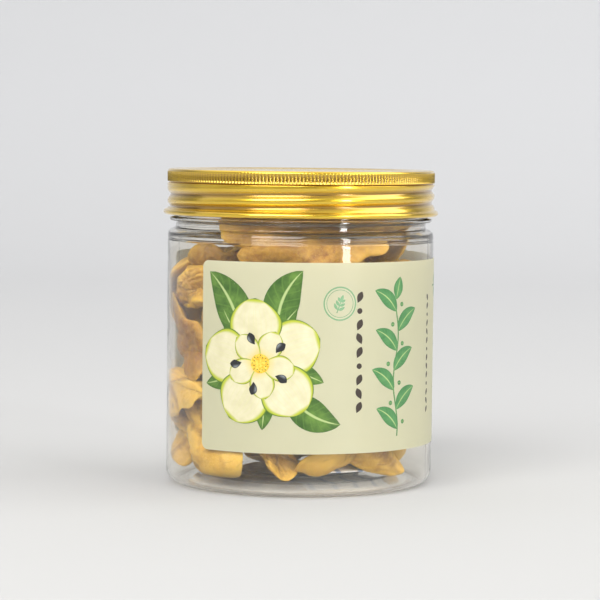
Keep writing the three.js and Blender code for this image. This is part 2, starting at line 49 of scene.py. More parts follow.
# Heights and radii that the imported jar, lid, label, liner and sachet give, in millimetres
JAR_LOW, JAR_HIGH = (np.array(corner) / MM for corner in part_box("jar"))
LID_LOW, LID_HIGH = (np.array(corner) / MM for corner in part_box("lid"))
LABEL_LOW, LABEL_HIGH = (np.array(corner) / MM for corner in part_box("label"))
LINER_LOW, LINER_HIGH = (np.array(corner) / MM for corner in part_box("lid_liner"))
SACHET_LOW, SACHET_HIGH = (np.array(corner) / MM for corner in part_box("sachet"))
BODY_RADIUS = JAR_HIGH[0]
MOUTH_Z = JAR_HIGH[2]
LID_BOTTOM_Z = LID_LOW[2]
LID_TOP_Z = LID_HIGH[2]
LABEL_BOTTOM_Z = LABEL_LOW[2]
LABEL_HEIGHT = LABEL_HIGH[2] - LABEL_LOW[2]

# Jar
BODY_WALL = 0.6
HEEL_RADIUS = 4.5
FOOT_OUTER = BODY_RADIUS - HEEL_RADIUS
FOOT_INNER = FOOT_OUTER - 1.8
PUSH_UP = 3.6
BASE_WALL = 0.9
INNER_STEP = 20.0
OUTER_STEP = 30.4
STEP_SLOPE = 1.0
SHOULDER_Z = 77.4
NECK_RADIUS = 39.85
NECK_BORE = 38.7
NECK_Z = 81.6
RING_RADIUS = 41.8
RING_LOW_Z = 83.4
RING_TOP_Z = 84.9
FINISH_RADIUS = 40.4
JAR_COLUMNS = 288
BASE_CLEARNESS = 0.91
SHOULDER_CLEARNESS = 0.992
PARTING_LINE = math.radians(-19)
PARTING_HALF_WIDTH = math.radians(0.22)
PARTING_HEIGHT = 0.07

# Screw thread
PITCH = 3.9
RIDGE_HALF_WIDTH = 1.0
THREAD_FADE = 0.35
GROOVE_DEPTH = 0.95
GROOVE_Z = 87.9
GROOVE_TURNS = (2.9, 12.9)
RIDGE_HEIGHT = 1.2
RIDGE_TURNS = (0.8, 9.3)
THREAD_LOW_Z = 87.6
THREAD_TOP_Z = 94.7

# Lid
KNURLS = 236
KNURL_COLUMNS = 4
KNURL_DEPTH = 0.5
KNURL_RADIUS = 42.6
KNURL_LOW_Z = 96.0
KNURL_TOP_Z = 98.9
LID_ROUND = 1.1
BAND_TOP_Z = 95.5
WAIST_RADIUS = 41.8
BEAD_RADIUS = 42.55
LID_WALL = 0.5
CURL_RADIUS = 0.85
CURL_CENTRE = LID_HIGH[0] - CURL_RADIUS
PANEL_RADIUS = 35.5
PANEL_STEP = 0.4
PANEL_RING_RADIUS = 30.1
PANEL_RING_WIDTH = 0.8
PANEL_RING_DEPTH = 0.12

# Label
LABEL_START = math.radians(-134.5)
LABEL_SPAN = math.radians(299.5)
LABEL_CORNER = 2.2
LABEL_INNER = BODY_RADIUS + 0.03
LABEL_OUTER = BODY_RADIUS + 0.13
LABEL_LENGTH = LABEL_SPAN * LABEL_OUTER

# Sachet
SACHET_LENGTH = 32
SACHET_WIDTH = 24
SACHET_TURN = 0.45
SACHET_SWELL = 1.05
SACHET_CRIMP = 0.1

# The room that the fruit may fill
INNER_RADIUS = BODY_RADIUS - BODY_WALL - 0.06
FLOOR_Z = 4.7

# How much larger than its solid a soft piece is, which closes the gaps between the pieces, and how pieces near
# the wall lean on it: from what distance off the axis, how far they may move to it, how flat they are pressed, how
# thick the pressed edge is, and what they leave free under the liner
FRUIT_GROWTH = np.array([1.2, 1.26, 1.3])
WALL_PIECE_DISTANCE = 17
WALL_REACH = 7
WALL_PRESS = 1.3
SOFT_EDGE = 0.8
LINER_GAP = 0.4

# How round the pile is at its bottom, how high it reaches from its left side to its middle, given as places across
# and heights, and how far a piece sinks for that at most
PILE_ROUND = 6
PILE_TOP = ((-31, -29, -20, -6), (70, 78, 80, 90))
MOST_DROP = 9

# The pieces that the clear strip of wall at the left shows: low ones are larger and pressed flatter, and a high one
# keeps off the wall
LEFT_X = -15
LOW_LEFT_Z = 35
LOW_LEFT_GROWTH = 1.14
LOW_LEFT_PRESS = 4
HIGH_GROWTH = 0.9
HIGH_LEFT_Z = 70
HIGH_LEFT_GAP = 5

# How deep the colour of one piece after another is, from pale tan at 0 to deep amber at 1, and what part of that
# the pieces low in the jar have, which paints them paler to lift the shade they lie in
TONES = (0.0, 0.5, 0.35, 0.0, 1.0, 0.2, 0.55, 0.4, 0.8, 0.25, 0.7, 0.45, 0.4)
LOW_SHADE_LIFT_TONE = 0.3

# The photograph's camera, found from the rings of the lid, shoulder, label and foot
CAMERA_DISTANCE = 0.805
CAMERA_HEIGHT = 0.1118
CAMERA_DOWN = math.radians(3.81)
CAMERA_ROLL = math.radians(0.58)
FOCAL_PIXELS = 2520
FRAME_PIXELS = 600
SENSOR = 36.0


# Meshes

def to_mesh(name, points, faces):
    """A smooth mesh object at the origin from points in millimetres and a list or array of faces."""
    mesh = bpy.data.meshes.new(name)
    mesh.from_pydata((np.asarray(points) * MM).tolist(), [], [list(map(int, face)) for face in faces])
    mesh.update()
    piece = bpy.data.objects.new(name, mesh)
    bpy.context.collection.objects.link(piece)
    mesh.shade_smooth()
    return piece


def mesh_points(mesh):
    """The places of a mesh's vertices in millimetres."""
    numbers = np.empty(3 * len(mesh.vertices))
    mesh.vertices.foreach_get("co", numbers)
    return numbers.reshape(-1, 3) / MM


def smoothed(piece, sharp=None):
    """Shades a piece smooth, apart from edges over an angle in degrees where one is given."""
    piece.data.shade_smooth()
    if sharp is not None:
        piece.data.set_sharp_from_angle(angle=math.radians(sharp))
    return piece


def grid_faces(rows, columns, wrap_rows, wrap_columns, start=0):
    """Quads between neighbours of a grid of points whose columns run fastest, closed on itself where asked."""
    row = np.arange(rows if wrap_rows else rows - 1)[:, None]
    column = np.arange(columns if wrap_columns else columns - 1)[None, :]
    next_row = (row + 1) % rows
    next_column = (column + 1) % columns
    corners = [row * columns + column, next_row * columns + column,
               next_row * columns + next_column, row * columns + next_column]
    return np.stack([np.broadcast_to(c, (len(row), column.shape[1])).ravel() for c in corners], 1) + start


def merged(piece, distance=0.0005):
    """Joins points closer than a distance in millimetres, which closes poles and seams, and turns all faces out."""
    work = bmesh.new()
    work.from_mesh(piece.data)
    bmesh.ops.remove_doubles(work, verts=work.verts, dist=distance * MM)
    bmesh.ops.recalc_face_normals(work, faces=work.faces)
    work.to_mesh(piece.data)
    work.free()
    return piece


def rounded(corners, steps=5):
    """An outline through corners given as (radius, height, fillet): each corner is cut back by its fillet along
    both its sides, and a quadratic curve with the corner as its control point joins the two cuts."""
    outline = []
    last = len(corners) - 1
    for i, (radius, height, fillet) in enumerate(corners):
        here = np.array([radius, height])
        if fillet == 0 or i in (0, last):
            outline.append(here[None])
            continue
        before = np.array(corners[i - 1][:2]) - here
        after = np.array(corners[i + 1][:2]) - here
        cut_in = here + before * min(0.49, fillet / np.linalg.norm(before))
        cut_out = here + after * min(0.49, fillet / np.linalg.norm(after))
        t = np.linspace(0, 1, steps)[:, None]
        outline.append((1 - t) ** 2 * cut_in + 2 * t * (1 - t) * here + t ** 2 * cut_out)
    return np.concatenate(outline)


def arc(centre_radius, centre_z, radius, from_degrees, to_degrees, steps):
    """Corners on a circle, with no fillet of their own."""
    angles = np.radians(np.linspace(from_degrees, to_degrees, steps + 1))
    return [(centre_radius + radius * math.cos(a), centre_z + radius * math.sin(a), 0) for a in angles]


def spun(name, outline, angles, push=None, sharp=None):
    """Carries an outline of (radius, height) round Z. push(angle, radius, height) gives how far each point then
    moves outwards. Points on the axis become one."""
    angle, radius = np.meshgrid(angles, outline[:, 0], indexing="ij")
    height = np.broadcast_to(outline[:, 1], angle.shape)
    if push is not None:
        radius = radius + push(angle, radius, height)
    points = np.stack([radius * np.cos(angle), radius * np.sin(angle), height], -1)
    faces = grid_faces(len(angles), len(outline), True, False)
    return smoothed(merged(to_mesh(name, points.reshape(-1, 3), faces)), sharp)


def smoothstep(value, low, high):
    """0 below low, 1 above high, and 3t^2 - 2t^3 between."""
    t = np.clip((value - low) / (high - low), 0, 1)
    return t * t * (3 - 2 * t)


def helix_bump(angle, height, reference_z, turns, half_width, power):
    """From 0 to 1, how far a helical ridge or groove goes: a cosine across it, to a power, climbing one pitch a turn
    through reference_z at half a turn, between its first and last angle, where it fades."""
    tallest = np.zeros_like(height)
    for turn in range(-1, 3):
        along = angle + turn * FULL_TURN
        centre = reference_z + PITCH * (along - math.pi) / FULL_TURN
        offset = np.clip(np.abs(height - centre) / half_width, 0, 1)
        across = np.cos(offset * math.pi / 2) ** power
        ends = smoothstep(along, turns[0], turns[0] + THREAD_FADE)
        ends = ends * (1 - smoothstep(along, turns[1] - THREAD_FADE, turns[1]))
        tallest = np.maximum(tallest, across * ends)
    return tallest


def waves(place, wavelength, count, seed):
    """A smooth random field from about -1 to 1: the sum of sine waves of random direction and phase."""
    random = np.random.default_rng(seed)
    directions = random.normal(size=(count, 3))
    directions /= np.linalg.norm(directions, axis=1)[:, None]
    scales = FULL_TURN / (wavelength * random.uniform(0.7, 1.4, count))
    phases = random.uniform(0, FULL_TURN, count)
    return np.sin(place @ (directions * scales[:, None]).T + phases).sum(-1) / math.sqrt(count)


def set_attribute(piece, name, values):
    """Stores one number a point under a name that materials read."""
    attribute = piece.data.attributes.new(name, "FLOAT", "POINT")
    attribute.data.foreach_set("value", np.asarray(values, dtype=np.float32).ravel())


def set_layout(piece, places):
    """Stores two numbers a point as the UV map that motifs and stripes follow."""
    layer = piece.data.uv_layers.new(name="motif")
    corners = np.empty(len(piece.data.loops), dtype=np.int32)
    piece.data.loops.foreach_get("vertex_index", corners)
    layer.data.foreach_set("uv", places.reshape(-1, 2)[corners].astype(np.float32).ravel())


# Materials

class Finish:
    """A material whose nodes are added one at a time, each linked to the sockets it is given."""

    def __init__(self, name):
        self.material = bpy.data.materials.new(name)
        self.material.use_nodes = True
        self.tree = self.material.node_tree
        self.tree.nodes.clear()
        self.output = self.tree.nodes.new("ShaderNodeOutputMaterial")

    def node(self, kind, inputs=None, **settings):
        made = self.tree.nodes.new("ShaderNode" + kind)
        for key, value in settings.items():
            setattr(made, key, value)
        for key, value in (inputs or {}).items():
            socket = made.inputs[key]
            if isinstance(value, bpy.types.NodeSocket):
                self.tree.links.new(value, socket)
            elif socket.type == "RGBA":
                socket.default_value = (*value[:3], 1)
            else:
                socket.default_value = value
        return made

    def value(self, kind, inputs=None, **settings):
        return self.node(kind, inputs, **settings).outputs[0]

    def place(self):
        return self.node("TexCoord").outputs["Object"]

    def stored(self, name):
        return self.node("Attribute", attribute_name=name).outputs["Fac"]

    def math(self, operation, *operands):
        numbered = dict(enumerate(operands))
        return self.value("Math", numbered, operation=operation)

    def noise(self, where, scale, detail=3.0, roughness=0.55):
        inputs = {"Vector": where, "Scale": scale, "Detail": detail, "Roughness": roughness}
        return self.node("TexNoise", inputs).outputs["Fac"]

    def ramp(self, factor, stops):
        made = self.node("ValToRGB", {"Fac": factor})
        elements = made.color_ramp.elements
        while len(elements) < len(stops):
            elements.new(0.5)
        for element, (position, colour) in zip(elements, stops):
            element.position = position
            element.color = (*colour, 1)
        return made.outputs["Color"]

    def between(self, factor, first, second, blend="MIX"):
        made = self.node("Mix", data_type="RGBA", blend_type=blend)
        for socket, value in zip((made.inputs[0], made.inputs[6], made.inputs[7]), (factor, first, second)):
            if isinstance(value, bpy.types.NodeSocket):
                self.tree.links.new(value, socket)
            elif isinstance(value, tuple):
                socket.default_value = (*value, 1)
            else:
                socket.default_value = value
        return made.outputs[2]

    def span(self, factor, from_low, from_high, to_low, to_high):
        inputs = {0: factor, 1: from_low, 2: from_high, 3: to_low, 4: to_high}
        return self.value("MapRange", inputs)

    def bump(self, height, strength, distance):
        return self.node("Bump", {"Height": height, "Strength": strength, "Distance": distance * MM}).outputs[0]

    def surface(self, inputs):
        shader = self.node("BsdfPrincipled", inputs).outputs[0]
        self.tree.links.new(shader, self.output.inputs["Surface"])
        return self.material


def linear(red, green, blue):
    """Linear colour from the 0 to 255 numbers of a colour as it is seen."""
    seen = np.array([red, green, blue]) / 255
    return tuple(np.where(seen <= 0.04045, seen / 12.92, ((seen + 0.055) / 1.055) ** 2.4).tolist())


def clear_plastic():
    """Clear glossy moulded plastic: faint flow ripples, a haze in the thick base and shoulder, a standing ring
    painted darker for the shadow where it meets the floor, and light that passes through in shadows."""
    finish = Finish("clear_pet_moulded")
    where = finish.place()
    ripples = finish.noise(where, 55.0, 2.0)
    specks = finish.noise(where, 900.0, 1.0)
    height = finish.math("MULTIPLY_ADD", specks, 0.04, ripples)
    normal = finish.bump(height, 0.25, 0.35)
    roughness = finish.span(ripples, 0.3, 0.7, 0.015, 0.05)
    height_up = finish.node("SeparateXYZ", {0: where}).outputs[2]
    above_base = finish.span(height_up, 1 * MM, 6 * MM, BASE_CLEARNESS, 1.0)
    below_shoulder = finish.span(height_up, (SHOULDER_Z - 2) * MM, (SHOULDER_Z + 1) * MM, 1.0, SHOULDER_CLEARNESS)
    clearness = finish.math("MULTIPLY", above_base, below_shoulder)
    # Painted shadow: the base colour darkens over the lowest 1.5 mm, where the standing ring meets the floor.
    foot_shadow = finish.span(height_up, 0.2 * MM, 1.5 * MM, 1.0, 0.0)
    glass = finish.node("BsdfPrincipled", {
        "Base Color": finish.between(foot_shadow, (0.99, 0.975, 0.935), (0.5, 0.46, 0.4)),
        "Roughness": roughness,
        "IOR": 1.52,
        "Transmission Weight": clearness,
        "Normal": normal,
    }).outputs[0]
    passing = finish.value("BsdfTransparent", {"Color": (0.965, 0.965, 0.96, 1)})
    shadow = finish.node("LightPath").outputs["Is Shadow Ray"]
    mixed = finish.value("MixShader", {0: shadow, 1: glass, 2: passing})
    finish.tree.links.new(mixed, finish.output.inputs["Surface"])
    return finish.material


def gold_sheet():
    """Gold-lacquered aluminium: a satin metal with a fine drawn grain round the lid, and painted shade in
    its hollows. hollow is 1 at the bottom of a groove or a gap between ribs, and 0 on the crests."""
    finish = Finish("gold_lacquered_aluminium")
    where = finish.place()
    axes = finish.node("SeparateXYZ", {0: where})
    radius = finish.math("SQRT", finish.math(
        "ADD", finish.math("MULTIPLY", axes.outputs[0], axes.outputs[0]),
        finish.math("MULTIPLY", axes.outputs[1], axes.outputs[1])))
    rings = finish.value("CombineXYZ", {0: radius, 1: axes.outputs[2], 2: 0.0})
    grain = finish.noise(rings, 2600.0, 2.0)
    cloud = finish.noise(where, 70.0, 3.0)
    colour = finish.ramp(cloud, [(0.3, (0.82, 0.53, 0.018)), (0.7, (0.90, 0.60, 0.025))])
    roughness = finish.math("ADD", finish.span(grain, 0.3, 0.7, 0.2, 0.28), finish.span(cloud, 0.3, 0.7, 0.0, 0.05))
    # Painted shade: the colour turns dark brown towards the bottom of each groove, each gap between ribs and the
    # waist.
    shaded_hollows = finish.between(finish.math("MULTIPLY", finish.stored("hollow"), 0.95), colour, (0.29, 0.14, 0.009))
    return finish.surface({
        "Base Color": shaded_hollows,
        "Metallic": 1.0,
        "Roughness": roughness,
        "Coat Weight": 0.9,
        "Coat IOR": 1.75,
        "Coat Roughness": 0.15,
        "Normal": finish.bump(grain, 0.12, 0.02),
    })


def dried_flesh():
    """Soft dried fruit: golden, half see-through flesh with paler fibres and brown stains, browner on its
    inner face, with painted shade in its folds, fibre grooves and pits, and a painted glow that lightens
    its thin torn rim where light shines through, with a tacky surface. tone goes from 0, pale tan, to 1,
    deep amber."""
    finish = Finish("dried_soursop_flesh")
    where = finish.place()
    cloud = finish.noise(where, 110.0, 4.0)
    stain = finish.noise(where, 170.0, 4.0, 0.6)
    fine = finish.noise(where, 700.0, 5.0, 0.65)
    pale = finish.ramp(cloud, [(0.3, linear(222, 184, 96)), (0.72, linear(208, 160, 54))])
    deep = finish.ramp(cloud, [(0.3, linear(154, 102, 26)), (0.72, linear(116, 70, 20))])
    toned = finish.between(finish.stored("tone"), pale, deep)
    body = finish.between(finish.span(stain, 0.52, 0.72, 0.0, 0.6), toned, linear(134, 80, 24))
    inner = finish.between(finish.math("MULTIPLY", finish.stored("inside"), 0.55), body, linear(136, 84, 34))
    # Painted shade: the colour browns in folds, fibre grooves and pits.
    crease_shaded = finish.between(finish.span(finish.stored("fold"), 0.3, 1.0, 0.0, 0.75), inner, linear(110, 66, 26))
    # Painted light: the thin rim is lighter, standing for light that shines through it.
    rim_glow = finish.between(finish.span(finish.stored("rim"), 0.3, 1.0, 0.0, 0.55), crease_shaded, linear(214, 170, 60))
    mottled = finish.between(finish.span(fine, 0.4, 0.75, 0.0, 0.4), rim_glow, linear(220, 180, 68))
    height = finish.math("MULTIPLY_ADD", cloud, 0.6, fine)
    return finish.surface({
        "Base Color": mottled,
        "Roughness": finish.span(fine, 0.3, 0.7, 0.34, 0.6),
        "Subsurface Weight": 0.3,
        "Subsurface Radius": (1.0, 0.72, 0.25),
        "Subsurface Scale": 2.5 * MM,
        "Specular IOR Level": 0.35,
        "Normal": finish.bump(height, 0.65, 0.6),
    })


def foam():
    """White foamed plastic: fine closed cells."""
    finish = Finish("foam_liner_white")
    cells = finish.node("TexVoronoi", {"Vector": finish.place(), "Scale": 2200.0}).outputs["Distance"]
    return finish.surface({
        "Base Color": finish.ramp(cells, [(0.0, (0.80, 0.80, 0.77)), (0.6, (0.9, 0.9, 0.87))]),
        "Roughness": 0.75,
        "Normal": finish.bump(cells, 0.4, 0.08),
    })


def print_film(name, colour_of, passing=0.0):
    """Satin printed film. colour_of(finish) gives the ink's colour socket or a plain colour, and passing is the
    part of the light that goes through each face of the sheet."""
    finish = Finish(name)
    where = finish.place()
    tooth = finish.noise(where, 1800.0, 2.0)
    cloud = finish.noise(where, 40.0, 2.0)
    colour = colour_of(finish)
    film = finish.surface({
        "Base Color": colour,
        "Roughness": finish.span(cloud, 0.3, 0.7, 0.3, 0.38),
        "Specular IOR Level": 0.45,
        "Normal": finish.bump(tooth, 0.06, 0.05),
    })
    if passing:
        front = finish.output.inputs["Surface"].links[0].from_socket
        through = finish.value("BsdfTranslucent", {"Color": (1.0, 0.98, 0.92)})
        both = finish.value("MixShader", {0: passing, 1: front, 2: through})
        finish.tree.links.new(both, finish.output.inputs["Surface"])
    return film


def label_ground(finish):
    """Pale green cream, a little warmer where the print's ground is lighter."""
    cloud = finish.noise(finish.place(), 25.0, 3.0)
    return finish.ramp(cloud, [(0.35, linear(221, 219, 186)), (0.7, linear(225, 223, 191))])


def along_and_across(finish):
    """A motif's own place: how far along it and across it, from 0 to 1, and how far off its spine, from 0 on the
    spine to 1 at its edge."""
    place = finish.node("SeparateXYZ", {0: finish.node("UVMap", uv_map="motif").outputs[0]})
    off = finish.math("ABSOLUTE", finish.math("MULTIPLY_ADD", place.outputs[1], 2.0, -1.0))
    return place.outputs[0], place.outputs[1], off


def petal_ink(finish):
    """Cream petal: a lime rim that turns green at the edge, a yellow root and fine veins that fan out."""
    along, _, off = along_and_across(finish)
    veins = finish.math("SINE", finish.math("MULTIPLY", off, 34.0))
    brushed = finish.noise(finish.place(), 260.0, 4.0)
    cream = finish.ramp(brushed, [(0.3, linear(212, 205, 166)), (0.7, linear(226, 219, 186))])
    veined = finish.between(finish.span(veins, 0.55, 1.0, 0.0, 0.3), cream, linear(214, 212, 150))
    root = finish.between(finish.span(along, 0.05, 0.42, 0.9, 0.0), veined, linear(228, 196, 74))
    rim = finish.math("MAXIMUM", off, finish.span(along, 0.80, 1.0, 0.55, 1.0))
    limed = finish.between(finish.span(rim, 0.80, 0.90, 0.0, 1.0), root, linear(182, 190, 62))
    return finish.between(finish.span(rim, 0.93, 0.985, 0.0, 1.0), limed, linear(82, 118, 44))


def leaf_ink(light, dark):
    """Painted leaf: darker towards its edge, with a pale midrib and slanting side veins."""
    def colour_of(finish):
        along, _, off = along_and_across(finish)
        slanted = finish.math("SUBTRACT", finish.math("MULTIPLY", along, 52.0), finish.math("MULTIPLY", off, 9.0))
        veins = finish.math("SINE", slanted)
        brushed = finish.noise(finish.place(), 320.0, 4.0)
        ground = finish.ramp(brushed, [(0.3, dark), (0.72, light)])
        edged = finish.between(finish.span(off, 0.4, 1.0, 0.0, 0.5), ground, dark)
        veined = finish.between(finish.span(veins, 0.72, 1.0, 0.0, 0.45), edged, light)
        return finish.between(finish.span(off, 0.05, 0.1, 0.8, 0.0), veined, linear(190, 208, 140))
    return colour_of


def seed_ink(finish):
    """Near-black seed with a soft grey shine along one side."""
    along, across, off = along_and_across(finish)
    side = finish.span(across, 0.55, 0.85, 0.0, 1.0)
    ends = finish.math("MULTIPLY", finish.span(along, 0.2, 0.45, 0.0, 1.0), finish.span(along, 0.6, 0.8, 1.0, 0.0))
    shine = finish.math("MULTIPLY", finish.math("MULTIPLY", side, ends), finish.span(off, 0.75, 0.95, 1.0, 0.0))
    return finish.between(shine, linear(42, 42, 44), linear(132, 138, 140))


def core_ink(finish):
    """Yellow heart of the blossom, darker in small spots."""
    spots = finish.noise(finish.place(), 1500.0, 2.0)
    return finish.ramp(spots, [(0.4, linear(222, 176, 48)), (0.62, linear(240, 212, 92))])


def stripe_film():
    """White sachet film with plain pale blue stripes along it."""
    finish = Finish("sachet_film")
    along, _, _ = along_and_across(finish)
    stripes = finish.math("SINE", finish.math("MULTIPLY", along, 26.0))
    fibres = finish.noise(finish.place(), 1200.0, 3.0)
    return finish.surface({
        "Base Color": finish.between(finish.span(stripes, 0.7, 0.82, 0.0, 0.7), linear(240, 241, 243),
                                     linear(104, 138, 196)),
        "Roughness": 0.55,
        "Normal": finish.bump(fibres, 0.3, 0.1),
    })


def dress(piece, body, slot, material, *nodes):
    """Gives a piece its material and the body it rides on, and hides the nodes that it stands for. slot is not used.
    """
    piece.data.materials.clear()
    piece.data.materials.append(material)
    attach(piece, body)
    if nodes:
        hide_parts(*nodes)
    return piece


# Camera

def photograph_camera():
    data = bpy.data.cameras.new("camera")
    data.sensor_width = SENSOR
    data.lens = FOCAL_PIXELS / FRAME_PIXELS * SENSOR
    camera = bpy.data.objects.new("camera", data)
    bpy.context.collection.objects.link(camera)
    look = Matrix.Rotation(math.radians(90) - CAMERA_DOWN, 4, "X") @ Matrix.Rotation(CAMERA_ROLL, 4, "Z")
    camera.matrix_world = Matrix.Translation((0, -CAMERA_DISTANCE, CAMERA_HEIGHT)) @ look
    bpy.context.scene.camera = camera


# Jar

def clear_jar():
    """Stepped push-up base, standing ring, round heel, straight wall, a fine groove under the square shoulder,
    ringed neck and thread, with the same outline again one wall inside it, and a low parting line up each side."""
    inner = BODY_RADIUS - BODY_WALL
    outside = [
        (0, PUSH_UP, 0), (INNER_STEP - STEP_SLOPE, PUSH_UP - 0.25, 0.8),
        (INNER_STEP + STEP_SLOPE, PUSH_UP - 0.85, 0.8), (OUTER_STEP - STEP_SLOPE, PUSH_UP - 1.15, 0.8),
        (OUTER_STEP + STEP_SLOPE, PUSH_UP - 1.8, 0.8), (FOOT_INNER - 0.9, 0.95, 0.6),
        (FOOT_INNER, 0, 0.35), *arc(FOOT_OUTER, HEEL_RADIUS, HEEL_RADIUS, -90, 0, 14),
        (BODY_RADIUS, 24, 0), (BODY_RADIUS, 50, 0), (BODY_RADIUS, SHOULDER_Z, 0.25),
        (BODY_RADIUS - 0.28, SHOULDER_Z + 0.35, 0.25), (BODY_RADIUS - 0.02, SHOULDER_Z + 0.8, 0.25),
        (BODY_RADIUS - 0.05, SHOULDER_Z + 2.5, 0.8), (BODY_RADIUS - 1.2, SHOULDER_Z + 3.6, 0.6),
        (NECK_RADIUS, NECK_Z - 0.2, 0.5), (NECK_RADIUS, RING_LOW_Z, 0.3),
        (RING_RADIUS, RING_LOW_Z + 0.25, 0.35), (RING_RADIUS, RING_TOP_Z - 0.25, 0.35),
        (FINISH_RADIUS, RING_TOP_Z, 0.3),
        *[(FINISH_RADIUS, z, 0) for z in np.linspace(THREAD_LOW_Z - 0.8, THREAD_TOP_Z + 0.4, 34)],
        (FINISH_RADIUS, MOUTH_Z - 0.05, 0.4), (NECK_BORE, MOUTH_Z, 0.4),
    ]
    inside = [
        (NECK_BORE, NECK_Z - 0.7, 0.6), (inner - 1.3, SHOULDER_Z + 3.0, 0.6), (inner - 0.1, SHOULDER_Z + 1.9, 0.8),
        (inner, SHOULDER_Z - 0.4, 0.5), (inner, 50, 0), (inner, 24, 0),
        *arc(FOOT_OUTER, HEEL_RADIUS, HEEL_RADIUS - BODY_WALL, 0, -90, 12),
        (FOOT_INNER, 1 + BASE_WALL - 0.2, 0.6),
        (OUTER_STEP + STEP_SLOPE - 0.2, PUSH_UP - 1.75 + BASE_WALL, 0.8),
        (OUTER_STEP - STEP_SLOPE - 0.2, PUSH_UP - 1.15 + BASE_WALL, 0.8),
        (INNER_STEP + STEP_SLOPE - 0.2, PUSH_UP - 0.85 + BASE_WALL, 0.8),
        (INNER_STEP - STEP_SLOPE - 0.2, PUSH_UP - 0.3 + BASE_WALL, 0.8), (0, PUSH_UP + BASE_WALL, 0),
    ]
    outline = rounded(outside + inside)
    columns = np.linspace(0, FULL_TURN, JAR_COLUMNS, endpoint=False)
    seams = [PARTING_LINE + half + k * PARTING_HALF_WIDTH for half in (0, math.pi) for k in (-2, -1, 0, 1, 2)]
    angles = np.unique(np.concatenate([columns, np.mod(seams, FULL_TURN)]))

    def push(angle, radius, height):
        ridge = helix_bump(angle, height, GROOVE_Z + PITCH / 2, RIDGE_TURNS, RIDGE_HALF_WIDTH, 1.2) * RIDGE_HEIGHT
        on_neck = (radius > FINISH_RADIUS - 0.1) & (height > THREAD_LOW_Z - 1) & (height < THREAD_TOP_Z + 0.6)
        off_seam = np.abs(np.mod(angle - PARTING_LINE + math.pi / 2, math.pi) - math.pi / 2)
        seam = PARTING_HEIGHT * np.clip(1 - off_seam / (1.5 * PARTING_HALF_WIDTH), 0, 1)
        on_wall = (radius > BODY_RADIUS - BODY_WALL / 2) & (height > HEEL_RADIUS)
        return np.where(on_neck, ridge, 0) + np.where(on_wall, seam - PARTING_HEIGHT, 0)

    jar = spun("jar_clear_wall", outline, angles, push)
    return dress(jar, "jar", "clear_pet", clear_plastic(), "jar")


# Lid

def lid_groove(angle, height):
    """How deep the rolled groove is, from 0 to 1: a cosine as wide as the pitch, so the beads between are round."""
    fade = smoothstep(height, THREAD_LOW_Z - 0.01, THREAD_LOW_Z + 0.25)
    fade = fade * (1 - smoothstep(height, BAND_TOP_Z - 0.5, BAND_TOP_Z))
    return helix_bump(angle, height, GROOVE_Z, GROOVE_TURNS, PITCH / 2, 3) * fade


def lid_ribs(angle, height):
    """How deep the gaps between the ribs are, from 0 to 1: half of one plus a cosine, which fades at the band's two
    ends."""
    band = smoothstep(height, KNURL_LOW_Z - 0.05, KNURL_LOW_Z + 0.4)
    band = band * (1 - smoothstep(height, KNURL_TOP_Z - 0.25, KNURL_TOP_Z + 0.45))
    return (0.5 + 0.5 * np.cos(angle * KNURLS)) * band


